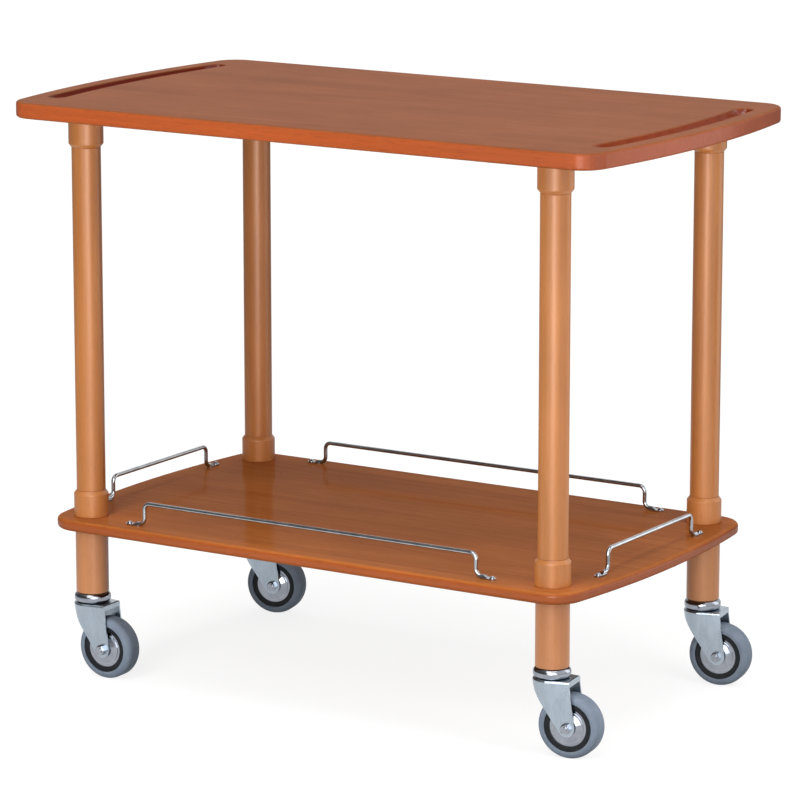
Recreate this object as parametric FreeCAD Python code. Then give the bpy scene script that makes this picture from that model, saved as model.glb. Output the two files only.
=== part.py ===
import FreeCAD, Part
import math
import os

# Serving trolley: a grooved top board and a railed lower shelf on four turned posts,
# standing on four swivel casters. Millimetres, +X along the length, +Y to the back,
# +Z up, origin on the floor under the middle of the trolley.

# Levels of use
serving_height = 843.0  # upper face of the top board above the floor
shelf_height = 239.0  # upper face of the lower shelf above the floor

# Top board
top_length = 1000.0  # over the middles of the bowed ends
top_width = 564.0
top_bow = 26.0  # how far each end bows out past the straight sides
top_thickness = 23.0
top_corner_radius = 40.0
top_edge_rounding = 4.0

# Grip grooves along the bowed ends of the top board
groove_rim = 25.0  # wood left between groove and end
groove_width = 28.0
groove_depth = 11.0
groove_reach = 430.0  # tip to tip
groove_lip_rounding = 1.5

# Lower shelf
shelf_overhang_length = 64.5  # past the post axes at the middles of the bowed ends
shelf_overhang_depth = 47.0  # past the post axes at the straight sides
shelf_bow = 22.0
shelf_thickness = 17.0
shelf_corner_radius = 45.0
shelf_edge_rounding = 6.0

# Posts, collars and legs
post_inset_length = 114.0  # post axis from the middle of the top's bowed end
post_inset_depth = 65.0  # post axis from the straight side of the top
post_diameter = 42.0
post_edge_break = 0.8
tenon_diameter = 30.0
collar_diameter = 50.0
upper_collar_height = 42.5
lower_collar_height = 38.0
collar_bevel_height = 5.0
collar_bevel_rounding = 2.0
collar_foot_break = 0.8
socket_depth = 24.0
leg_diameter = 47.4
leg_edge_break = 0.8

# Studs that tie the boards, posts and legs together
stud_diameter = 10.0
stud_bite_in_top = 15.0
stud_bite_in_post = 45.0
stud_bite_in_leg = 38.0
stud_end_room = 1.0  # space left past each stud end and tenon end

# Wire rails on the shelf
wire_diameter = 6.0
rail_rise = 34.0  # wire axis of the upper run above the shelf
rail_bend_radius = 9.0  # at the wire axis
long_rail_gap = 109.0  # from post axis to riser axis along the rail
short_rail_gap = 97.0
long_rail_inset = 26.0  # from the straight side of the shelf
short_rail_inset = 33.5  # from the middle of the bowed end
rail_screw_reach = 26.0  # from riser axis to screw axis
rail_flat_start = 12.5  # from riser axis to where the wire is pressed flat
rail_flat_full = 19.5  # from riser axis to where the flat is full
rail_flat_width = 11.0
rail_flat_thickness = 2.2

# Rail screws
screw_diameter = 4.0
screw_head_diameter = 8.4
screw_head_height = 2.8
screw_brim_height = 0.4
screw_crown_diameter = 4.6
screw_length = 14.0

# Casters: wheel
wheel_diameter = 90.0
tyre_width = 32.0
tyre_shoulder_radius = 9.0
rim_diameter = 69.0
rim_width = 29.0
rim_key_height = 3.0  # moulded key that holds the tyre
rim_key_width = 9.0
web_thickness = 9.0
hub_diameter = 22.0
hub_length = 36.0
cap_diameter = 53.6
cap_seat_depth = 2.0  # rim face to cap seat
cap_ledge_width = 3.2  # of the rim's ledge under the cap
cap_thickness = 1.0
cap_step_diameter = 45.0
cap_dome_diameter = 40.0
cap_crown_diameter = 28.0
cap_step_height = 1.2
cap_dome_height = 2.6

# Casters: axle
axle_diameter = 8.0
nut_across_flats = 13.0
nut_height = 6.5
nut_corner_drop = 1.6
axle_tip_length = 1.5

# Casters: pressed fork
swivel_trail = 29.0
fork_wall = 2.5
fork_play = 0.3  # each side of the hub
crown_diameter = 55.0
crown_rim_depth = 6.5
crown_back_depth = 8.0
crown_back_width = 42.0
crown_back_reach = 33.0  # swivel axis to the back of the fork
crown_edge_rounding = 3.0
crown_back_rounding = 2.0
fork_waist_drop = 44.0  # below this the two legs run parallel
fork_boss_radius = 12.0
crown_clearance = 20.5  # from the top of the tyre to the top of the crown

# Casters: swivel head
race_gap = 0.4
ring_diameter = 53.0
ring_height = 14.6
ring_edge_rounding = 7.0
ring_foot_rounding = 5.0
ring_rim_width = 6.0
ring_roof = 2.2
stem_diameter = 11.0
stem_length = 45.0
stem_tip_break = 1.0
pin_shoulder_diameter = 18.0
pin_neck_diameter = 12.0
pin_head_diameter = 20.0
pin_head_height = 3.0
ball_count = 12
ball_diameter = 6.0
race_diameter = 34.0  # circle of the ball centres
race_groove_depth = 0.8
race_plate_diameter = 40.0
race_plate_thickness = 3.0
stem_socket_diameter = 16.0

# Fits
fit_clearance = 0.05
running_clearance = 0.05
cut_overrun = 8.0
pick_tolerance = 0.05  # for finding edges by their place

# How each caster stands, as the turn of its trailing direction from +X
swivel_turns = {"front_left": 1.0, "front_right": 8.0, "back_left": 12.0, "back_right": 9.0}
corner_signs = {"front_left": (-1, -1), "front_right": (1, -1),
                "back_left": (-1, 1), "back_right": (1, 1)}

# Places on the plan
post_spacing_length = top_length - 2 * post_inset_length
post_spacing_depth = top_width - 2 * post_inset_depth
shelf_length = post_spacing_length + 2 * shelf_overhang_length
shelf_width = post_spacing_depth + 2 * shelf_overhang_depth
long_rail_span = post_spacing_length - 2 * long_rail_gap  # between riser axes
short_rail_span = post_spacing_depth - 2 * short_rail_gap

# Levels above the floor
axle_height = wheel_diameter / 2
crown_top = wheel_diameter + crown_clearance
ball_level = crown_top - race_groove_depth + ball_diameter / 2
race_plate_base = crown_top + ball_diameter - 2 * race_groove_depth
ring_base = crown_top + race_gap
leg_foot = ring_base + ring_height
shelf_underside = shelf_height - shelf_thickness
top_underside = serving_height - top_thickness
lower_mouth = shelf_height + lower_collar_height
upper_mouth = top_underside - upper_collar_height
tenon_length = socket_depth - stud_end_room

vector = FreeCAD.Vector
middle = vector(0, 0, 0)
along = vector(1, 0, 0)
across = vector(0, 1, 0)
upward = vector(0, 0, 1)


def corner_place(corner):
    # Post axis of a corner, on the floor.
    side, depth = corner_signs[corner]
    return vector(side * post_spacing_length / 2, depth * post_spacing_depth / 2, 0)


def turned(points):
    # Solid of revolution about the Z axis from (radius, height) points.
    corners = [vector(radius, 0, height) for radius, height in points]
    outline = Part.makePolygon(corners + corners[:1])
    return Part.Face(outline).revolve(middle, upward, 360)


def rod(diameter, base, height, direction=upward):
    return Part.makeCylinder(diameter / 2, height, base, direction)


def bore(diameter, clearance, base, height, direction=upward):
    return Part.makeCylinder(diameter / 2 + clearance, height, base, direction)


def edges_where(solid, test):
    return [edge for edge in solid.Edges if test(edge)]


def edge_on_level(edge, height):
    box = edge.BoundBox
    return abs(box.ZMin - height) < pick_tolerance and box.ZLength < pick_tolerance


def arc_edge(centre, radius, turns, height):
    # Arc about a vertical axis through the three given directions.
    points = [vector(centre[0] + radius * math.cos(turn), centre[1] + radius * math.sin(turn), height)
              for turn in turns]
    return Part.Arc(*points).toShape()


def line_edge(start, end):
    return Part.LineSegment(start, end).toShape()


def bow_of(length, bow, width):
    # Radius and centre of the bowed end on the +X side.
    half_width = width / 2
    radius = (half_width ** 2 + bow ** 2) / (2 * bow)
    return radius, length / 2 - radius


def board(length, bow, width, corner_radius, base, thickness, edge_rounding):
    # Board with straight long sides, bowed ends and rounded corners, rounded along both rims.
    bow_radius, bow_centre = bow_of(length, bow, width)
    corner_y = width / 2 - corner_radius
    corner_x = bow_centre + math.sqrt((bow_radius - corner_radius) ** 2 - corner_y ** 2)
    swing = math.atan2(corner_y, corner_x - bow_centre)
    square = math.pi / 2
    edges = [arc_edge((bow_centre, 0), bow_radius, (-swing, 0, swing), base)]
    near_turns = (swing, (swing + square) / 2, square)
    edges.append(arc_edge((corner_x, corner_y), corner_radius, near_turns, base))
    edges.append(line_edge(vector(corner_x, width / 2, base), vector(-corner_x, width / 2, base)))
    far_turns = (square, (3 * square - swing) / 2, 2 * square - swing)
    edges.append(arc_edge((-corner_x, corner_y), corner_radius, far_turns, base))
    half = [edge.copy() for edge in edges]
    for edge in half:
        edge.rotate(middle, upward, 180)
    outline = Part.Wire(Part.__sortEdges__(edges + half))
    slab = Part.Face(outline).extrude(vector(0, 0, thickness))
    rims = edges_where(slab, lambda edge: edge.BoundBox.ZLength < pick_tolerance)
    return slab.makeFillet(edge_rounding, rims)


def groove_cutters(turn):
    # Round-bottomed groove parallel to the bowed end: a swept middle and two ball ends.
    bow_radius, bow_centre = bow_of(top_length, top_bow, top_width)
    path_radius = bow_radius - groove_rim - groove_width / 2
    cove_radius = ((groove_width / 2) ** 2 + groove_depth ** 2) / (2 * groove_depth)
    cove_height = serving_height - groove_depth + cove_radius
    swing = math.degrees(math.asin((groove_reach - groove_width) / 2 / path_radius))
    start = vector(path_radius, 0, cove_height)
    section = Part.Face(Part.Wire(Part.makeCircle(cove_radius, start, across)))
    section.rotate(middle, upward, -swing)
    cutters = [section.revolve(middle, upward, 2 * swing)]
    half_box = cove_radius + cut_overrun
    for end in (-1, 1):
        ball = Part.makeSphere(cove_radius, start)
        beyond = start - vector(half_box, (1 - end) / 2 * half_box, half_box)
        ball = ball.common(Part.makeBox(2 * half_box, half_box, 2 * half_box, beyond))
        ball.rotate(middle, upward, end * swing)
        cutters.append(ball)
    for cutter in cutters:
        cutter.translate(vector(bow_centre, 0, 0))
        cutter.rotate(middle, upward, turn)
    return cutters


def top_board():
    slab = board(top_length, top_bow, top_width, top_corner_radius,
                 top_underside, top_thickness, top_edge_rounding)
    for cutter in groove_cutters(0) + groove_cutters(180):
        slab = slab.cut(cutter)
    lips = edges_where(slab, lambda edge: edge_on_level(edge, serving_height)
                       and abs(edge.BoundBox.Center.y) < groove_reach / 2
                       and edge.BoundBox.YLength < groove_reach
                       and edge.BoundBox.XLength < top_length / 2)
    slab = slab.makeFillet(groove_lip_rounding, lips)
    depth = stud_bite_in_top + stud_end_room
    for corner in corner_signs:
        place = corner_place(corner) + vector(0, 0, top_underside)
        slab = slab.cut(bore(stud_diameter, fit_clearance, place, depth))
    return slab


def rail_places():
    # Name, middle on the shelf, turn and span of each rail.
    long_y = shelf_width / 2 - long_rail_inset
    short_x = shelf_length / 2 - short_rail_inset
    return [("front", vector(0, -long_y, shelf_height), 0, long_rail_span),
            ("back", vector(0, long_y, shelf_height), 0, long_rail_span),
            ("left", vector(-short_x, 0, shelf_height), 90, short_rail_span),
            ("right", vector(short_x, 0, shelf_height), 90, short_rail_span)]


def rail_screw_places():
    places = []
    for name, place, turn, span in rail_places():
        for end in (-1, 1):
            spot = vector(end * (span / 2 + rail_screw_reach), 0, 0)
            places.append(FreeCAD.Placement(place, FreeCAD.Rotation(upward, turn)).multVec(spot))
    return places


def lower_shelf():
    slab = board(shelf_length, shelf_bow, shelf_width, shelf_corner_radius,
                 shelf_underside, shelf_thickness, shelf_edge_rounding)
    for corner in corner_signs:
        base = corner_place(corner) + vector(0, 0, shelf_underside - cut_overrun)
        slab = slab.cut(bore(stud_diameter, fit_clearance, base, shelf_thickness + 2 * cut_overrun))
    pilot = screw_length - rail_flat_thickness + stud_end_room
    for place in rail_screw_places():
        slab = slab.cut(bore(screw_diameter, fit_clearance, place, pilot, -upward))
    return slab


def collar(seat, height, facing):
    # Turned collar on a board face, with a socket for the post and a bevelled mouth.
    outer = collar_diameter / 2
    hole = stud_diameter / 2 + fit_clearance
    socket = tenon_diameter / 2 + fit_clearance
    floor = height - socket_depth
    shoulder = height - collar_bevel_height
    body = turned([(hole, 0), (outer, 0), (outer, shoulder), (post_diameter / 2, height),
                   (socket, height), (socket, floor), (hole, floor)])
    ridge = edges_where(body, lambda edge: edge_on_level(edge, shoulder))
    body = body.makeFillet(collar_bevel_rounding, ridge)
    foot = edges_where(body, lambda edge: edge_on_level(edge, 0)
                       and edge.BoundBox.XLength > post_diameter)
    body = body.makeChamfer(collar_foot_break, foot)
    if facing < 0:
        body.rotate(middle, along, 180)
    body.translate(seat)
    return body


def post(place):
    # Turned post with a tenon and a stud hole at each end.
    outer = post_diameter / 2
    tenon = tenon_diameter / 2
    hole = stud_diameter / 2 + fit_clearance
    low = lower_mouth - tenon_length
    high = upper_mouth + tenon_length
    deep = stud_bite_in_post + stud_end_room
    body = turned([(hole, low), (tenon, low), (tenon, lower_mouth),
                   (outer - post_edge_break, lower_mouth), (outer, lower_mouth + post_edge_break),
                   (outer, upper_mouth - post_edge_break), (outer - post_edge_break, upper_mouth),
                   (tenon, upper_mouth), (tenon, high), (hole, high), (hole, high - deep),
                   (0, high - deep), (0, low + deep), (hole, low + deep)])
    body.translate(place)
    return body


def leg(place):
    # Plain round leg from the caster to the underside of the shelf.
    outer = leg_diameter / 2
    hole = stud_diameter / 2 + fit_clearance
    socket = stem_socket_diameter / 2 + fit_clearance
    socket_top = leg_foot + stem_length + stud_end_room
    hole_foot = shelf_underside - stud_bite_in_leg - stud_end_room
    body = turned([(socket, leg_foot), (outer - leg_edge_break, leg_foot),
                   (outer, leg_foot + leg_edge_break), (outer, shelf_underside),
                   (hole, shelf_underside), (hole, hole_foot), (0, hole_foot),
                   (0, socket_top), (socket, socket_top)])
    body.translate(place)
    return body


def top_stud(place):
    low = upper_mouth + tenon_length - stud_bite_in_post
    return rod(stud_diameter, place + vector(0, 0, low), top_underside + stud_bite_in_top - low)


def shelf_stud(place):
    low = shelf_underside - stud_bite_in_leg
    high = lower_mouth - tenon_length + stud_bite_in_post
    return rod(stud_diameter, place + vector(0, 0, low), high - low)


def stem_socket(place):
    # Steel sleeve in the leg that the caster stem stands in.
    inner = stem_diameter / 2 + fit_clearance
    outer = stem_socket_diameter / 2
    top = leg_foot + stem_length + stud_end_room
    body = turned([(inner, leg_foot), (outer, leg_foot), (outer, top), (inner, top)])
    body.translate(place)
    return body


def bent_path(points, radius):
    # Straight runs joined by tangent arcs of one radius.
    edges = []
    start = points[0]
    for before, corner, after in zip(points, points[1:], points[2:]):
        back = (before - corner).normalize()
        ahead = (after - corner).normalize()
        half_turn = (math.pi - back.getAngle(ahead)) / 2
        reach = radius * math.tan(half_turn)
        bisector = (back + ahead).normalize()
        crest = corner + bisector * (radius / math.cos(half_turn) - radius)
        edges.append(line_edge(start, corner + back * reach))
        edges.append(Part.Arc(corner + back * reach, crest, corner + ahead * reach).toShape())
        start = corner + ahead * reach
    edges.append(line_edge(start, points[-1]))
    return Part.Wire(edges)


def rail_foot(span, end):
    # Flattened wire end with its screw hole, and the wedge that presses the wire flat.
    inner = span / 2 + rail_flat_start
    tip = span / 2 + rail_screw_reach
    half = rail_flat_width / 2
    flat = Part.makeBox(tip - inner, rail_flat_width, rail_flat_thickness, vector(inner, -half, 0))
    flat = flat.fuse(rod(rail_flat_width, vector(tip, 0, 0), rail_flat_thickness))
    nose = rod(rail_flat_width, vector(inner, 0, 0), rail_flat_thickness)
    flat = flat.fuse(nose).removeSplitter()
    full = span / 2 + rail_flat_full
    roof = wire_diameter + cut_overrun
    side = vector(0, -wire_diameter, 0)
    corners = [vector(inner, 0, wire_diameter), vector(full, 0, rail_flat_thickness),
               vector(tip + cut_overrun, 0, rail_flat_thickness), vector(tip + cut_overrun, 0, roof),
               vector(inner, 0, roof)]
    wedge = Part.Face(Part.makePolygon(corners + corners[:1])).extrude(2 * side)
    wedge.translate(-side)
    hole = bore(screw_diameter, 2 * fit_clearance, vector(tip, 0, -cut_overrun), 2 * cut_overrun)
    pieces = [flat, wedge, hole]
    if end < 0:
        for piece in pieces:
            piece.rotate(middle, upward, 180)
    return pieces


def rail(place, turn, span):
    # Bent wire rail: upper run, two risers and two flattened feet on the shelf.
    half = span / 2
    reach = half + rail_flat_full
    low = wire_diameter / 2
    points = [vector(-reach, 0, low), vector(-half, 0, low), vector(-half, 0, rail_rise),
              vector(half, 0, rail_rise), vector(half, 0, low), vector(reach, 0, low)]
    path = bent_path(points, rail_bend_radius)
    ring = Part.Wire(Part.makeCircle(wire_diameter / 2, points[0], along))
    body = path.makePipeShell([ring], True, False)
    for end in (-1, 1):
        flat, wedge, hole = rail_foot(span, end)
        body = body.cut(wedge).fuse(flat).cut(hole)
    body.rotate(middle, upward, turn)
    body.translate(place)
    return body


def rail_screw(place):
    # Dome-headed wood screw through a rail foot.
    shank = screw_diameter / 2
    head = screw_head_diameter / 2
    crown = screw_crown_diameter / 2
    seat = rail_flat_thickness
    tip = seat - screw_length
    brim = seat + screw_brim_height
    peak = seat + screw_head_height
    body = turned([(0, tip), (shank, tip + shank), (shank, seat), (head, seat),
                   (head, brim), (crown, peak), (0, peak)])
    body.translate(place)
    return body


def seat_caster(body, corner):
    # From the caster's own frame, swivel axis on Z and trailing along +X, to its corner.
    body.rotate(middle, upward, swivel_turns[corner])
    body.translate(corner_place(corner))
    return body


def on_axle(body):
    # From an axis on Z to the axle line.
    body.rotate(middle, along, 90)
    body.translate(vector(swivel_trail, 0, axle_height))
    return body


def swivel_ring():
    # Bulged steel ring under the leg that covers the ball race.
    outer = ring_diameter / 2
    hole = stem_diameter / 2 + fit_clearance
    inner = outer - ring_rim_width
    roof = leg_foot - ring_roof
    body = turned([(hole, roof), (inner, roof), (inner, ring_base), (outer, ring_base),
                   (outer, leg_foot), (hole, leg_foot)])
    crown = edges_where(body, lambda edge: edge_on_level(edge, leg_foot)
                        and edge.BoundBox.XLength > 2 * inner)
    body = body.makeFillet(ring_edge_rounding, crown)
    foot = edges_where(body, lambda edge: edge_on_level(edge, ring_base)
                       and edge.BoundBox.XLength > 2 * inner + ring_rim_width)
    return body.makeFillet(ring_foot_rounding, foot)


def race_groove():
    # Cutter for the groove that the balls of the swivel run in.
    groove_radius = ball_diameter / 2 + running_clearance
    return Part.makeTorus(race_diameter / 2, groove_radius, vector(0, 0, ball_level))


def swivel_balls():
    # Ring of steel balls between the fork crown and the race plate.
    balls = []
    for step in range(ball_count):
        ball = Part.makeSphere(ball_diameter / 2, vector(race_diameter / 2, 0, ball_level))
        ball.rotate(middle, upward, 360 * step / ball_count)
        balls.append(ball)
    return Part.makeCompound(balls)


def king_pin():
    # Caster stem with its race plate and the riveted pin that carries the fork.
    stem = stem_diameter / 2
    shoulder = pin_shoulder_diameter / 2
    neck = pin_neck_diameter / 2
    head = pin_head_diameter / 2
    roof = leg_foot - ring_roof
    head_top = crown_top - fork_wall - race_gap
    head_foot = head_top - pin_head_height
    plate = race_plate_diameter / 2
    plate_top = race_plate_base + race_plate_thickness
    tip = leg_foot + stem_length
    body = turned([(0, head_foot), (head - stem_tip_break, head_foot),
                   (head, head_foot + stem_tip_break), (head, head_top), (neck, head_top),
                   (neck, ring_base), (shoulder, ring_base), (shoulder, race_plate_base),
                   (plate, race_plate_base), (plate, plate_top), (shoulder, plate_top),
                   (shoulder, roof), (stem, roof), (stem, tip - stem_tip_break),
                   (stem - stem_tip_break, tip), (0, tip)])
    return body.cut(race_groove())


def fork_section(nose_radius, tail_half_width, tail, height):
    # Round-nosed section of the fork, open towards the tail.
    nose = arc_edge((0, 0), nose_radius, (math.pi / 2, math.pi, -math.pi / 2), height)
    right = line_edge(vector(0, -nose_radius, height), vector(tail, -tail_half_width, height))
    back = line_edge(vector(tail, -tail_half_width, height), vector(tail, tail_half_width, height))
    left = line_edge(vector(tail, tail_half_width, height), vector(0, nose_radius, height))
    return Part.Wire([nose, right, back, left])


def fork_form(inset, tail):
    # Crown and legs as one solid, shrunk by inset: tapered to the waist and straight below it.
    waist = crown_top - fork_waist_drop
    floor = axle_height - fork_boss_radius - cut_overrun
    leg_half = hub_length / 2 + fork_play + fork_wall - inset
    crown = crown_diameter / 2
    taper = (crown - crown_back_width / 2) / crown_back_reach
    tail_half = crown - taper * tail - inset
    upper = fork_section(crown - inset, tail_half, tail, crown_top)
    lower = fork_section(leg_half, leg_half, tail, waist)
    shoulders = Part.makeLoft([lower, upper], True, True)
    legs = Part.Face(lower).extrude(vector(0, 0, floor - waist))
    return shoulders.fuse(legs)


def tangent_turn(point, side):
    # Direction from the axle to where a line from the point touches the boss.
    distance = math.hypot(*point)
    return math.atan2(point[1], point[0]) + side * math.acos(fork_boss_radius / distance)


def fork_side_profile():
    # Side view of the fork: crown, sloping front edge, round boss, back edge and rounded back flange.
    flange_foot = crown_top - crown_back_depth
    rim_foot = crown_top - crown_rim_depth
    nose = -crown_diameter / 2
    back = tangent_turn((crown_back_reach - swivel_trail, flange_foot - axle_height), -1)
    front = tangent_turn((nose - swivel_trail, rim_foot - axle_height), 1) - 2 * math.pi
    boss = []
    for turn in (back, (back + front) / 2, front):
        arm = vector(math.cos(turn), 0, math.sin(turn)) * fork_boss_radius
        boss.append(vector(swivel_trail, 0, axle_height) + arm)
    ridge = vector(crown_back_reach - crown_back_rounding, 0, crown_top)
    drop = vector(crown_back_reach, 0, crown_top - crown_back_rounding)
    lean = crown_back_rounding / math.sqrt(2)
    crest = vector(ridge.x + lean, 0, drop.z + lean)
    corners = [boss[2], vector(nose, 0, rim_foot), vector(nose - cut_overrun, 0, rim_foot),
               vector(nose - cut_overrun, 0, crown_top), ridge]
    edges = [Part.Arc(*boss).toShape(), Part.Arc(ridge, crest, drop).toShape()]
    for start, end in zip(corners, corners[1:]):
        edges.append(line_edge(start, end))
    flange = vector(crown_back_reach, 0, flange_foot)
    edges.append(line_edge(drop, flange))
    edges.append(line_edge(flange, boss[0]))
    face = Part.Face(Part.Wire(Part.__sortEdges__(edges)))
    width = crown_diameter + 2 * cut_overrun
    face.translate(vector(0, -width / 2, 0))
    return face.extrude(vector(0, width, 0))


def fork():
    # Pressed steel fork: an inverted pan with a round nose, a turned-down back and two legs.
    tail = swivel_trail + fork_boss_radius + cut_overrun
    outer = fork_form(0, tail)
    rim = edges_where(outer, lambda edge: edge_on_level(edge, crown_top)
                      and edge.BoundBox.XMin < tail - fork_wall)
    outer = outer.makeFillet(crown_edge_rounding, rim)
    cavity = fork_form(fork_wall, tail + cut_overrun)
    span = tail + crown_diameter + cut_overrun
    keep = Part.makeBox(2 * span, 2 * span, crown_top - fork_wall, vector(-span, -span, 0))
    shell = outer.cut(cavity.common(keep))
    flange_base = vector(crown_back_reach - fork_wall, -span / 2, crown_top - crown_back_depth)
    flange = Part.makeBox(fork_wall, span, crown_back_depth, flange_base)
    body = shell.fuse(flange.common(outer)).common(fork_side_profile())
    pin_base = vector(0, 0, crown_top - cut_overrun)
    body = body.cut(bore(pin_neck_diameter, running_clearance, pin_base, 2 * cut_overrun))
    body = body.cut(race_groove())
    axle_base = vector(swivel_trail, -span / 2, axle_height)
    return body.cut(bore(axle_diameter, fit_clearance, axle_base, span, across)).removeSplitter()


def hexagon_nut(base, height):
    # Hexagon with its outer corners turned off.
    corner = nut_across_flats / math.sqrt(3)
    turns = [math.pi * step / 3 for step in range(7)]
    points = [vector(corner * math.cos(turn), corner * math.sin(turn), base) for turn in turns]
    block = Part.Face(Part.makePolygon(points)).extrude(vector(0, 0, height))
    crown = nut_across_flats / 2 - nut_corner_drop / 2
    roof = base + height
    drop = math.copysign(nut_corner_drop, height)
    turning = turned([(0, base), (corner, base), (corner, roof - drop), (crown, roof), (0, roof)])
    return block.common(turning)


def axle():
    # Axle bolt with its head on the far leg, and the nut on the near leg.
    seat = hub_length / 2 + fork_play + fork_wall
    shank = rod(axle_diameter, vector(0, 0, -seat), 2 * seat + nut_height + axle_tip_length)
    head = hexagon_nut(-seat, -nut_height)
    bolt = on_axle(shank.fuse(head))
    hole_base = vector(0, 0, seat - cut_overrun)
    hole = bore(axle_diameter, fit_clearance, hole_base, nut_height + 2 * cut_overrun)
    nut = on_axle(hexagon_nut(seat, nut_height).cut(hole))
    return Part.makeCompound([bolt, nut])


def tyre():
    # Round-shouldered rubber tyre, keyed to the rim.
    outer = wheel_diameter / 2
    seat = rim_diameter / 2 + fit_clearance
    key = seat + rim_key_height
    half = tyre_width / 2
    flat = half - tyre_shoulder_radius
    shoulder = outer - tyre_shoulder_radius
    slot = rim_key_width / 2 + fit_clearance
    lean = tyre_shoulder_radius / math.sqrt(2)
    low = [vector(shoulder, 0, -half), vector(shoulder + lean, 0, -flat - lean), vector(outer, 0, -flat)]
    high = [vector(outer, 0, flat), vector(shoulder + lean, 0, flat + lean), vector(shoulder, 0, half)]
    edges = [Part.Arc(*low).toShape(), line_edge(low[2], high[0]), Part.Arc(*high).toShape()]
    corners = [high[2], vector(seat, 0, half), vector(seat, 0, slot), vector(key, 0, slot),
               vector(key, 0, -slot), vector(seat, 0, -slot), vector(seat, 0, -half), low[0]]
    for start, end in zip(corners, corners[1:]):
        edges.append(line_edge(start, end))
    return on_axle(Part.Face(Part.Wire(edges)).revolve(middle, upward, 360))


def mirrored_profile(points):
    # Closed profile from its half above the wheel's middle plane.
    return points + [(radius, -height) for radius, height in reversed(points)]


def wheel_core():
    # Moulded wheel centre: hub, web, rim with cap seats and the tyre key.
    bore_radius = axle_diameter / 2 + running_clearance
    hub = hub_diameter / 2
    web = web_thickness / 2
    rim = rim_diameter / 2
    half_rim = rim_width / 2
    seat = half_rim - cap_seat_depth
    ledge = cap_diameter / 2 + fit_clearance
    well = ledge - cap_ledge_width
    key = rim + rim_key_height
    key_half = rim_key_width / 2
    return on_axle(turned(mirrored_profile([
        (key, key_half), (rim, key_half), (rim, half_rim), (ledge, half_rim), (ledge, seat),
        (well, seat), (well, web), (hub, web), (hub, hub_length / 2), (bore_radius, hub_length / 2)])))


def dust_cap(side):
    # Thin stepped cap over one face of the wheel, pressed into the rim.
    outer = cap_diameter / 2
    step = cap_step_diameter / 2
    dome = cap_dome_diameter / 2
    crown = cap_crown_diameter / 2
    hole = hub_diameter / 2 + fit_clearance
    seat = rim_width / 2 - cap_seat_depth
    skin = cap_thickness
    shelf = seat + cap_step_height
    peak = shelf + cap_dome_height
    body = turned([(outer, seat), (outer, seat + skin), (step, seat + skin), (step, shelf + skin),
                   (dome, shelf + skin), (crown, peak + skin), (hole, peak + skin), (hole, peak),
                   (crown - skin / 2, peak), (dome - skin / 2, shelf),
                   (step - skin, shelf), (step - skin, seat)])
    if side < 0:
        body.rotate(middle, along, 180)
    return on_axle(body)


def dust_caps():
    return Part.makeCompound([dust_cap(side) for side in (-1, 1)])


def save(shape, name):
    shape.exportStep("parts/" + name + ".step")


def main():
    os.makedirs("parts", exist_ok=True)
    save(top_board(), "top_board")
    save(lower_shelf(), "lower_shelf")
    places = {corner: corner_place(corner) for corner in corner_signs}
    for corner, place in places.items():
        save(post(place), "post_" + corner)
        upper_seat = place + vector(0, 0, top_underside)
        save(collar(upper_seat, upper_collar_height, -1), "upper_collar_" + corner)
        lower_seat = place + vector(0, 0, shelf_height)
        save(collar(lower_seat, lower_collar_height, 1), "lower_collar_" + corner)
        save(leg(place), "leg_" + corner)
    for name, place, turn, span in rail_places():
        save(rail(place, turn, span), "rail_" + name)
    save(Part.makeCompound([rail_screw(place) for place in rail_screw_places()]), "rail_screws")
    save(Part.makeCompound([top_stud(place) for place in places.values()]), "top_studs")
    save(Part.makeCompound([shelf_stud(place) for place in places.values()]), "shelf_studs")
    save(Part.makeCompound([stem_socket(place) for place in places.values()]), "stem_sockets")
    makers = {"swivel_ring": swivel_ring, "king_pin": king_pin, "swivel_balls": swivel_balls,
              "fork": fork, "axle": axle, "tyre": tyre, "wheel_core": wheel_core,
              "dust_caps": dust_caps}
    for name, maker in makers.items():
        pattern = maker()
        for corner in corner_signs:
            save(seat_caster(pattern.copy(), corner), name + "_" + corner)


main()
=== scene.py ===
import math
import bpy
import bmesh
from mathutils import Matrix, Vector

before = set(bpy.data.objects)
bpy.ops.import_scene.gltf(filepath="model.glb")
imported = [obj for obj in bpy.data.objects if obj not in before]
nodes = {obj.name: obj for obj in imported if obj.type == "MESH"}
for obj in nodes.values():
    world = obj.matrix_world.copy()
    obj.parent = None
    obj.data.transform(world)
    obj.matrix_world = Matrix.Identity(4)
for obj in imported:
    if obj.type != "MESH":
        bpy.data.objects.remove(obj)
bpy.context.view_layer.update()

# Serving trolley: stained beech boards and turned posts, wire rails, zinc plated casters.

corners = ("front_left", "front_right", "back_left", "back_right")
scene = bpy.context.scene
scene.view_settings.view_transform = "Standard"
print("frame loaded:", len(nodes), "nodes")


# Helpers for shader trees

def startMaterial(name):
    material = bpy.data.materials.new(name)
    material.use_nodes = True
    return material, material.node_tree, material.node_tree.nodes["Principled BSDF"]


def addNode(tree, kind, values=None, **settings):
    node = tree.nodes.new(kind)
    for key, value in settings.items():
        setattr(node, key, value)
    for socket, value in (values or {}).items():
        node.inputs[socket].default_value = value
    return node


def feed(tree, socket, value):
    # a number or a colour is set on the socket, anything else is linked to it
    if isinstance(value, (int, float)):
        socket.default_value = value
    elif isinstance(value, tuple):
        socket.default_value = (*value, 1)
    else:
        tree.links.new(value, socket)


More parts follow.
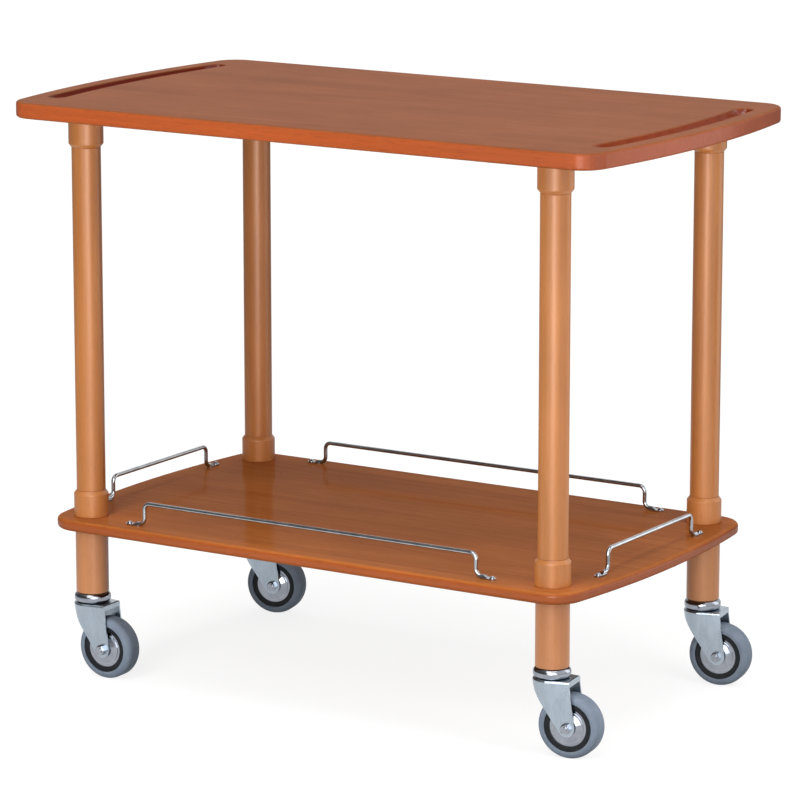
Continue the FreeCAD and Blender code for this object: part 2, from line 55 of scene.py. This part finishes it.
def noiseOf(tree, stretch, detail=2.0, rough=0.5, twist=0.0, shift=(0, 0, 0)):
    # noise on object coordinates, stretched per axis in features per metre
    place = addNode(tree, "ShaderNodeTexCoord")
    fit = addNode(tree, "ShaderNodeMapping", {"Scale": stretch, "Location": shift})
    noise = addNode(tree, "ShaderNodeTexNoise",
                    {"Scale": 1.0, "Detail": detail, "Roughness": rough, "Distortion": twist})
    tree.links.new(place.outputs["Object"], fit.inputs["Vector"])
    tree.links.new(fit.outputs["Vector"], noise.inputs["Vector"])
    return noise.outputs["Fac"]


def rampOf(tree, source, places, tones):
    ramp = addNode(tree, "ShaderNodeValToRGB")
    marks = ramp.color_ramp.elements
    while len(marks) < len(places):
        marks.new(0.5)
    for mark, place, tone in zip(marks, places, tones):
        mark.position = place
        mark.color = (*tone, 1)
    tree.links.new(source, ramp.inputs["Fac"])
    return ramp.outputs["Color"]


def grey(value):
    return (value, value, value)


def shadeOf(tree, source, stops):
    # grey factor that runs between two (place, value) stops
    return rampOf(tree, source, [place for place, value in stops],
                  [grey(value) for place, value in stops])


def rangeOf(tree, source, low, high, start=0.0, end=1.0):
    fit = addNode(tree, "ShaderNodeMapRange",
                  {"From Min": low, "From Max": high, "To Min": start, "To Max": end})
    tree.links.new(source, fit.inputs["Value"])
    return fit.outputs["Result"]


def mathOf(tree, operation, first, second=0.0):
    node = addNode(tree, "ShaderNodeMath", operation=operation)
    feed(tree, node.inputs[0], first)
    feed(tree, node.inputs[1], second)
    return node.outputs["Value"]


def sumOf(tree, first, firstShare, second, secondShare):
    return mathOf(tree, "ADD", mathOf(tree, "MULTIPLY", first, firstShare),
                  mathOf(tree, "MULTIPLY", second, secondShare))


# a mix node has sockets for every data type, and these are the ones for colours
mixSockets = {"factor": 0, "first": 6, "second": 7, "result": 2}


def mixOf(tree, mode, factor, first, second):
    node = addNode(tree, "ShaderNodeMix", data_type="RGBA", blend_type=mode)
    feed(tree, node.inputs[mixSockets["factor"]], factor)
    feed(tree, node.inputs[mixSockets["first"]], first)
    feed(tree, node.inputs[mixSockets["second"]], second)
    return node.outputs[mixSockets["result"]]


def bumpOf(tree, shader, height, depth, strength):
    bump = addNode(tree, "ShaderNodeBump", {"Distance": depth, "Strength": strength})
    tree.links.new(height, bump.inputs["Height"])
    tree.links.new(bump.outputs["Normal"], shader.inputs["Normal"])


# cosine between the face and its bevelled edge where wear starts and where it is full
edgeWear = {"start": 0.98, "full": 0.80, "samples": 6}


def edgeOf(tree, radius):
    # 1 along edges and 0 on plain faces
    bevel = addNode(tree, "ShaderNodeBevel", {"Radius": radius}, samples=edgeWear["samples"])
    place = addNode(tree, "ShaderNodeNewGeometry")
    turn = addNode(tree, "ShaderNodeVectorMath", operation="DOT_PRODUCT")
    tree.links.new(bevel.outputs["Normal"], turn.inputs[0])
    tree.links.new(place.outputs["Normal"], turn.inputs[1])
    return rangeOf(tree, turn.outputs["Value"], edgeWear["start"], edgeWear["full"])


def dress(names, material):
    for name in names:
        mesh = nodes[name].data
        if not mesh.materials:
            mesh.materials.append(material)
        for index in range(len(mesh.materials)):
            mesh.materials[index] = material


def cornerNames(*stems):
    return [stem + "_" + corner for stem in stems for corner in corners]


# Wood: stained and varnished beech

topWood = {
    "name": "topVeneer",
    "tones": ((0.325, 0.094, 0.030), (0.362, 0.108, 0.035), (0.400, 0.124, 0.043)),
    "figure": (1.3, 15, 15),
    "streak": (5, 190, 190),
    "fleck": (60, 900, 900),
    "blotch": (7, 11, 11),
    "edgeTone": (0.510, 0.105, 0.027),
    "endShadeTone": (0.354, 0.093, 0.046),
    # painted shade for the grooves: a darker tone for the left groove, a lighter one for the
    # right
    "grooveShadeTones": ((0.205, 0.018, 0.003), (0.300, 0.046, 0.010)),
    "outline": {"length": 1.000, "width": 0.564, "bow": 0.026, "depth": 0.018},
    "face": 0.843,
    "roughness": (0.36, 0.50),
    "pores": 0.8,
    "coat": {"face": 0.14, "edge": 0.32, "grooveEnd": 0.80, "roughness": 0.18},
}
shelfWood = {
    "name": "shelfVeneer",
    "tones": ((0.385, 0.115, 0.027), (0.443, 0.138, 0.034), (0.502, 0.164, 0.043)),
    "figure": (1.1, 13, 13),
    "streak": (4, 170, 170),
    "fleck": (60, 900, 900),
    "blotch": (6, 9, 9),
    "edgeTone": (0.380, 0.090, 0.021),
    "endShadeTone": (0.330, 0.085, 0.028),
    "outline": {"length": 0.901, "width": 0.528, "bow": 0.022, "depth": 0.012},
    "roughness": (0.34, 0.46),
    "pores": 0.8,
    "coat": {"face": 0.09, "edge": 0.50, "roughness": 0.12},
}
postWood = {
    "name": "turnedBeech",
    "tones": ((0.468, 0.165, 0.040), (0.512, 0.190, 0.051), (0.556, 0.218, 0.064)),
    "figure": (18, 18, 1.4),
    "streak": (120, 120, 4),
    "fleck": (700, 700, 75),
    "blotch": (16, 16, 5),
    "roughness": (0.30, 0.40),
    "pores": 0.4,
    "coat": {"face": 1.0, "roughness": 0.34},
}
# the legs take the posts' wood with paler tones, which are painted highlight
highlightedLegWood = dict(postWood, name="turnedLegHighlight",
               tones=((0.510, 0.197, 0.071), (0.556, 0.224, 0.085), (0.605, 0.254, 0.101)))

# what all the wood has in common
woodNoise = {
    "figure": {"detail": 4.0, "rough": 0.55, "twist": 0.9},
    "streak": {"detail": 3.0, "rough": 0.6, "shift": (3.1, 0.7, 1.9)},
    "fleck": {"detail": 1.0, "shift": (0.4, 5.2, 2.7)},
    "blotch": {"twist": 0.3, "shift": (7.7, 1.3, 4.1)},
}
woodFinish = {
    "grainShares": {"figure": 0.55, "streak": 0.45},
    "grainStops": (0.36, 0.50, 0.64),
    "blotchStops": ((0.30, 0.90), (0.70, 1.06)),
    "poreStops": ((0.60, 1.0), (0.72, 0.72)),
    "wear": {"radius": 0.0025, "amount": 0.10, "tone": (0.75, 0.52, 0.36)},
    "roughnessSpan": (0.3, 0.7),
    "relief": {"streak": 0.4, "fleck": -0.6, "depth": 0.00012, "strength": 0.35},
}
# tilts and turns are sizes of the normal's upright and lengthwise parts
boardFinish = {
    "edgeStops": ((0.34, 0.88), (0.66, 1.09)),
    "lippingTilt": (0.80, 0.40),
    "endTurn": (0.35, 0.90),
    "grooveDepth": (0.0003, 0.0026),
    "grooveFacing": 0.02,
    "varnishTilt": (0.35, 0.12),
    "grooveEnd": (0.185, 0.200),
}


def spotOf(tree, outline):
    # place on a board with straight sides and bowed ends; rim is 1 near its outline
    halfWidth = outline["width"] / 2
    bowRadius = (halfWidth ** 2 + outline["bow"] ** 2) / (2 * outline["bow"])
    spot = addNode(tree, "ShaderNodeSeparateXYZ")
    place = addNode(tree, "ShaderNodeTexCoord")
    tree.links.new(place.outputs["Object"], spot.inputs["Vector"])
    along = mathOf(tree, "ABSOLUTE", spot.outputs["X"])
    along = mathOf(tree, "ADD", along, bowRadius - outline["length"] / 2)
    across = mathOf(tree, "ABSOLUTE", spot.outputs["Y"])
    reach = mathOf(tree, "ADD", mathOf(tree, "POWER", along, 2.0),
                   mathOf(tree, "POWER", across, 2.0))
    end = mathOf(tree, "SUBTRACT", mathOf(tree, "SQRT", reach), bowRadius)
    side = mathOf(tree, "SUBTRACT", across, halfWidth)
    rim = mathOf(tree, "GREATER_THAN", mathOf(tree, "MAXIMUM", end, side), -outline["depth"])
    return {"rim": rim, "lengthwise": spot.outputs["X"], "across": across,
            "level": spot.outputs["Z"]}


def finishBoard(tree, look, grain, colour):
    # colour and varnish with the lipping and the grooves
    coat = look["coat"]
    spot = spotOf(tree, look["outline"])
    facing = addNode(tree, "ShaderNodeSeparateXYZ")
    geometry = addNode(tree, "ShaderNodeNewGeometry")
    tree.links.new(geometry.outputs["Normal"], facing.inputs["Vector"])
    tilt = mathOf(tree, "ABSOLUTE", facing.outputs["Z"])
    turn = mathOf(tree, "ABSOLUTE", facing.outputs["X"])

    # the lipping has a tone of its own along the sides; the ends get a darker, pinker tone,
    # which is painted shade and painted reflection
    upright = rangeOf(tree, tilt, *boardFinish["lippingTilt"])
    lipping = mathOf(tree, "MULTIPLY", spot["rim"], upright)
    edgeGrain = shadeOf(tree, grain, boardFinish["edgeStops"])
    endShade = rangeOf(tree, turn, *boardFinish["endTurn"])
    edgeColour = mixOf(tree, "MIX", endShade, look["edgeTone"], look["endShadeTone"])
    edgeColour = mixOf(tree, "MULTIPLY", 1.0, edgeColour, edgeGrain)
    colour = mixOf(tree, "MIX", lipping, colour, edgeColour)
    # its upright faces hold more varnish
    thick = mathOf(tree, "MULTIPLY", spot["rim"],
                   rangeOf(tree, tilt, *boardFinish["varnishTilt"]))
    weight = rangeOf(tree, thick, 0.0, 1.0, coat["face"], coat["edge"])

    if "grooveShadeTones" in look:
        # the grooves get painted shade, darker with depth, the left groove painted darker than
        # the right; more varnish lies in their ends
        shallow, deep = (look["face"] - depth for depth in boardFinish["grooveDepth"])
        sunkShade = rangeOf(tree, spot["level"], shallow, deep)
        above = mathOf(tree, "GREATER_THAN", facing.outputs["Z"], boardFinish["grooveFacing"])
        sunkShade = mathOf(tree, "MULTIPLY", mathOf(tree, "SUBTRACT", sunkShade, spot["rim"]), above)
        sunkShade = mathOf(tree, "MAXIMUM", sunkShade, 0.0)
        rightHand = mathOf(tree, "GREATER_THAN", spot["lengthwise"], 0.0)
        shadedGroove = mixOf(tree, "MIX", rightHand, *look["grooveShadeTones"])
        shadedGroove = mixOf(tree, "MULTIPLY", 1.0, shadedGroove, edgeGrain)
        colour = mixOf(tree, "MIX", sunkShade, colour, shadedGroove)
        grooveEnd = mathOf(tree, "MULTIPLY", sunkShade,
                           rangeOf(tree, spot["across"], *boardFinish["grooveEnd"]))
        extra = mathOf(tree, "MULTIPLY", grooveEnd, coat["grooveEnd"] - coat["face"])
        weight = mathOf(tree, "ADD", weight, extra)
    return colour, weight


def makeWood(look):
    material, tree, shader = startMaterial(look["name"])
    noise = {name: noiseOf(tree, look[name], **how) for name, how in woodNoise.items()}
    shares = woodFinish["grainShares"]
    grain = sumOf(tree, noise["figure"], shares["figure"], noise["streak"], shares["streak"])
    colour = rampOf(tree, grain, woodFinish["grainStops"], look["tones"])
    blotches = shadeOf(tree, noise["blotch"], woodFinish["blotchStops"])
    colour = mixOf(tree, "MULTIPLY", 1.0, colour, blotches)
    weight = look["coat"]["face"]
    if "outline" in look:
        colour, weight = finishBoard(tree, look, grain, colour)
    pores = shadeOf(tree, noise["fleck"], woodFinish["poreStops"])
    colour = mixOf(tree, "MULTIPLY", look["pores"], colour, pores)
    wear = woodFinish["wear"]
    worn = mathOf(tree, "MULTIPLY", edgeOf(tree, wear["radius"]), wear["amount"])
    colour = mixOf(tree, "SCREEN", worn, colour, wear["tone"])
    roughness = rangeOf(tree, noise["streak"], *woodFinish["roughnessSpan"], *look["roughness"])
    feed(tree, shader.inputs["Base Color"], colour)
    feed(tree, shader.inputs["Roughness"], roughness)
    # the varnish alone reflects
    shader.inputs["Specular IOR Level"].default_value = 0.0
    feed(tree, shader.inputs["Coat Weight"], weight)
    shader.inputs["Coat Roughness"].default_value = look["coat"]["roughness"]
    relief = woodFinish["relief"]
    height = sumOf(tree, noise["streak"], relief["streak"], noise["fleck"], relief["fleck"])
    bumpOf(tree, shader, height, relief["depth"], relief["strength"])
    return material


dress(["top_board"], makeWood(topWood))
dress(["lower_shelf"], makeWood(shelfWood))
dress(cornerNames("post", "upper_collar", "lower_collar"), makeWood(postWood))
dress(cornerNames("leg"), makeWood(highlightedLegWood))
print("wood dressed")


# Metal: plated wire, zinc plated pressings, bright fittings and plain steel inside

wirePlate = {
    "name": "platedWire",
    "tones": ((0.34, 0.36, 0.38), (0.48, 0.50, 0.52)),
    "grain": (60, 60, 60),
    "roughness": (0.14, 0.26),
    "bump": 0.00003,
}
zincPlate = {
    "name": "zincPressing",
    "tones": ((0.340, 0.396, 0.453), (0.388, 0.449, 0.511)),
    "grain": (85, 85, 30),
    "roughness": (0.24, 0.34),
    "bump": 0.000006,
}
brightPlate = {
    "name": "brightZinc",
    "tones": ((0.263, 0.283, 0.325), (0.331, 0.351, 0.393)),
    "grain": (70, 70, 70),
    "roughness": (0.08, 0.15),
    "bump": 0.00003,
}
plainSteel = {
    "name": "plainSteel",
    "tones": ((0.28, 0.28, 0.28), (0.40, 0.40, 0.40)),
    "grain": (120, 120, 20),
    "roughness": (0.30, 0.45),
    "bump": 0.00004,
}
metalFinish = {
    "spangle": {"detail": 4.0, "rough": 0.6, "twist": 0.4},
    "fine": {"detail": 2.0, "rough": 0.6},
    "finer": 9,
    "toneStops": (0.35, 0.65),
    "wear": {"radius": 0.0012, "amount": 0.25, "tone": (0.7, 0.72, 0.74)},
    "glossShares": {"spangle": 0.6, "fine": 0.4},
    "roughnessSpan": (0.3, 0.7),
    "bumpStrength": 0.4,
}


def finer(stretch, times):
    return tuple(times * step for step in stretch)


def makeMetal(look):
    material, tree, shader = startMaterial(look["name"])
    spangle = noiseOf(tree, look["grain"], **metalFinish["spangle"])
    fine = noiseOf(tree, finer(look["grain"], metalFinish["finer"]), **metalFinish["fine"])
    colour = rampOf(tree, spangle, metalFinish["toneStops"], look["tones"])
    wear = metalFinish["wear"]
    worn = mathOf(tree, "MULTIPLY", edgeOf(tree, wear["radius"]), wear["amount"])
    colour = mixOf(tree, "SCREEN", worn, colour, wear["tone"])
    shares = metalFinish["glossShares"]
    gloss = sumOf(tree, spangle, shares["spangle"], fine, shares["fine"])
    roughness = rangeOf(tree, gloss, *metalFinish["roughnessSpan"], *look["roughness"])
    feed(tree, shader.inputs["Base Color"], colour)
    feed(tree, shader.inputs["Roughness"], roughness)
    shader.inputs["Metallic"].default_value = 1.0
    bumpOf(tree, shader, fine, look["bump"], metalFinish["bumpStrength"])
    return material


dress(["rail_front", "rail_back", "rail_left", "rail_right"], makeMetal(wirePlate))
dress(["rail_screws"] + cornerNames("swivel_ring", "dust_caps", "axle"), makeMetal(brightPlate))
dress(cornerNames("fork"), makeMetal(zincPlate))
dress(["top_studs", "shelf_studs", "stem_sockets"] + cornerNames("king_pin", "swivel_balls"),
      makeMetal(plainSteel))
print("metal dressed")


# Wheels: grey rubber tyre on a black moulded centre

tyreRubber = {
    "name": "greyRubber",
    "tones": ((0.184, 0.226, 0.290), (0.235, 0.284, 0.354)),
    "grain": (55, 55, 55),
    "roughness": (0.52, 0.68),
    "scuff": (0.42, 0.42, 0.46),
}
blackMoulding = {
    "name": "blackMoulding",
    "tones": ((0.008, 0.010, 0.012), (0.018, 0.021, 0.025)),
    "grain": (90, 90, 90),
    "roughness": (0.38, 0.52),
    "scuff": (0.07, 0.07, 0.075),
}
mouldedFinish = {
    "cloud": {"detail": 4.0, "rough": 0.6, "twist": 0.2},
    "fine": {"detail": 2.0, "rough": 0.6},
    "finer": 22,
    "toneStops": (0.32, 0.68),
    "wear": {"radius": 0.0016, "span": (0.42, 0.62), "amount": (0.1, 0.5)},
    "roughnessSpan": (0.3, 0.7),
    "specular": 0.15,
    "bump": {"depth": 0.00008, "strength": 0.35},
}


def makeMoulded(look):
    material, tree, shader = startMaterial(look["name"])
    cloud = noiseOf(tree, look["grain"], **mouldedFinish["cloud"])
    fine = noiseOf(tree, finer(look["grain"], mouldedFinish["finer"]), **mouldedFinish["fine"])
    colour = rampOf(tree, cloud, mouldedFinish["toneStops"], look["tones"])
    wear = mouldedFinish["wear"]
    rub = mathOf(tree, "MULTIPLY", edgeOf(tree, wear["radius"]),
                 rangeOf(tree, cloud, *wear["span"], *wear["amount"]))
    colour = mixOf(tree, "MIX", rub, colour, look["scuff"])
    roughness = rangeOf(tree, cloud, *mouldedFinish["roughnessSpan"], *look["roughness"])
    feed(tree, shader.inputs["Base Color"], colour)
    feed(tree, shader.inputs["Roughness"], roughness)
    shader.inputs["Specular IOR Level"].default_value = mouldedFinish["specular"]
    bump = mouldedFinish["bump"]
    bumpOf(tree, shader, fine, bump["depth"], bump["strength"])
    return material


dress(cornerNames("tyre"), makeMoulded(tyreRubber))
dress(cornerNames("wheel_core"), makeMoulded(blackMoulding))
print("wheels dressed")


# Camera at the photograph's viewing angle

cameraView = {
    "aim": (0.0040, 0.0025, 0.4130),
    "azimuth": 32.050,
    "elevation": 11.936,
    "distance": 6.1742,
    "lens": 193.38,
    "sensor": 36,
    "clipEnd": 100,
}


def directionOf(azimuth, elevation):
    turn, lift = math.radians(azimuth), math.radians(elevation)
    return Vector((math.sin(turn) * math.cos(lift), -math.cos(turn) * math.cos(lift),
                   math.sin(lift)))


def pointAlong(thing, back):
    thing.rotation_mode = "QUATERNION"
    thing.rotation_quaternion = (-back).to_track_quat("-Z", "Y")
    scene.collection.objects.link(thing)


def makeCamera(look):
    data = bpy.data.cameras.new("camera")
    data.lens = look["lens"]
    data.sensor_width = look["sensor"]
    data.clip_end = look["clipEnd"]
    back = directionOf(look["azimuth"], look["elevation"])
    camera = bpy.data.objects.new("camera", data)
    camera.location = Vector(look["aim"]) + back * look["distance"]
    pointAlong(camera, back)
    scene.camera = camera


makeCamera(cameraView)


# Soft studio light: broad lamps overhead, in front and behind, softboxes round the trolley

lampDistance = 3
lamps = {
    "over": {"azimuth": 20, "elevation": 82, "spread": 40, "strength": 1.38, "mirrored": True},
    "slant": {"azimuth": 4, "elevation": 45, "spread": 24, "strength": 0.52, "mirrored": True},
    "back": {"azimuth": 212, "elevation": 35, "spread": 60, "strength": 0.56, "mirrored": False},
}
softboxes = {
    "key": {"azimuth": -3, "distance": 1.60, "base": 0.05, "width": 0.80, "height": 1.00,
            "radiance": 6.3, "diffuse": True, "mirrored": False},
    "side": {"azimuth": 80, "distance": 1.30, "base": 0.01, "width": 0.50, "height": 1.40,
             "radiance": 4.0, "diffuse": True, "mirrored": False},
    "front": {"azimuth": 29, "distance": 1.95, "base": 0.01, "width": 0.72, "height": 1.60,
              "radiance": 5.4, "diffuse": False, "mirrored": True},
    "sheen": {"azimuth": 35, "distance": 2.10, "base": 0.01, "width": 1.90, "height": 1.50,
              "radiance": 2.2, "diffuse": False, "mirrored": True},
    "rim": {"azimuth": 128, "distance": 1.60, "base": 0.01, "width": 0.80, "height": 1.40,
            "radiance": 1.5, "diffuse": False, "mirrored": True},
}


def makeLamps(looks):
    for name, look in looks.items():
        data = bpy.data.lights.new(name, "SUN")
        data.energy = look["strength"]
        data.angle = math.radians(look["spread"])
        back = directionOf(look["azimuth"], look["elevation"])
        lamp = bpy.data.objects.new(name, data)
        lamp.location = back * lampDistance
        lamp.visible_glossy = look["mirrored"]
        pointAlong(lamp, back)


def makeSoftboxes(looks):
    for name, look in looks.items():
        data = bpy.data.lights.new(name, "AREA")
        data.shape = "RECTANGLE"
        data.size = look["width"]
        data.size_y = look["height"]
        data.energy = look["radiance"] * math.pi * look["width"] * look["height"]
        back = directionOf(look["azimuth"], 0)
        middle = Vector((0, 0, look["base"] + look["height"] / 2))
        lamp = bpy.data.objects.new(name, data)
        lamp.location = back * look["distance"] + middle
        lamp.visible_camera = False
        lamp.visible_diffuse = look["diffuse"]
        lamp.visible_glossy = look["mirrored"]
        pointAlong(lamp, back)


def seenOf(tree, mirrorShare):
    # 1 where the backdrop is looked at, and the given share where it is mirrored
    path = addNode(tree, "ShaderNodeLightPath").outputs
    mirrored = mathOf(tree, "MAXIMUM", path["Is Glossy Ray"], path["Is Transmission Ray"])
    mirrored = mathOf(tree, "MULTIPLY", mirrored, mirrorShare)
    return mathOf(tree, "MAXIMUM", path["Is Camera Ray"], mirrored)


sky = {"level": 0.14, "darkSide": (-0.85, -0.53, 0.0), "fade": (0.10, 0.70)}


def makeWorld(look):
    world = bpy.data.worlds.new("studio")
    world.use_nodes = True
    tree = world.node_tree
    background = tree.nodes["Background"]
    background.inputs["Color"].default_value = (1, 1, 1, 1)
    # in reflections the white backdrop ends at the left, where the studio is darker
    place = addNode(tree, "ShaderNodeTexCoord")
    lean = addNode(tree, "ShaderNodeVectorMath", {1: look["darkSide"]}, operation="DOT_PRODUCT")
    tree.links.new(place.outputs["Generated"], lean.inputs[0])
    mirrorShare = rangeOf(tree, lean.outputs["Value"], *look["fade"], 1.0, 0.0)
    strength = rangeOf(tree, seenOf(tree, mirrorShare), 0.0, 1.0, look["level"], 1.0)
    tree.links.new(strength, background.inputs["Strength"])
    scene.world = world


floorLook = {"size": 40.0, "tone": 0.25, "glow": 0.835, "fade": (0.8, 2.2), "farShare": 0.15}


def makeFloor(look):
    mesh = bpy.data.meshes.new("floor")
    shape = bmesh.new()
    bmesh.ops.create_grid(shape, x_segments=1, y_segments=1, size=look["size"] / 2)
    shape.to_mesh(mesh)
    shape.free()
    floor = bpy.data.objects.new("floor", mesh)
    scene.collection.objects.link(floor)
    material, tree, shader = startMaterial("paleFloor")
    tree.nodes.remove(shader)
    matt = addNode(tree, "ShaderNodeBsdfDiffuse", {"Color": (*grey(look["tone"]), 1)})
    glow = addNode(tree, "ShaderNodeEmission")
    both = addNode(tree, "ShaderNodeAddShader")
    # in reflections the pale floor fades away from the trolley
    place = addNode(tree, "ShaderNodeTexCoord")
    away = addNode(tree, "ShaderNodeVectorMath", operation="LENGTH")
    tree.links.new(place.outputs["Object"], away.inputs[0])
    mirrorShare = rangeOf(tree, away.outputs["Value"], *look["fade"], 1.0, look["farShare"])
    strength = mathOf(tree, "MULTIPLY", seenOf(tree, mirrorShare), look["glow"])
    tree.links.new(strength, glow.inputs["Strength"])
    tree.links.new(matt.outputs["BSDF"], both.inputs[0])
    tree.links.new(glow.outputs["Emission"], both.inputs[1])
    tree.links.new(both.outputs["Shader"], tree.nodes["Material Output"].inputs["Surface"])
    mesh.materials.append(material)


makeLamps(lamps)
makeSoftboxes(softboxes)
makeWorld(sky)
makeFloor(floorLook)
print("stage set")
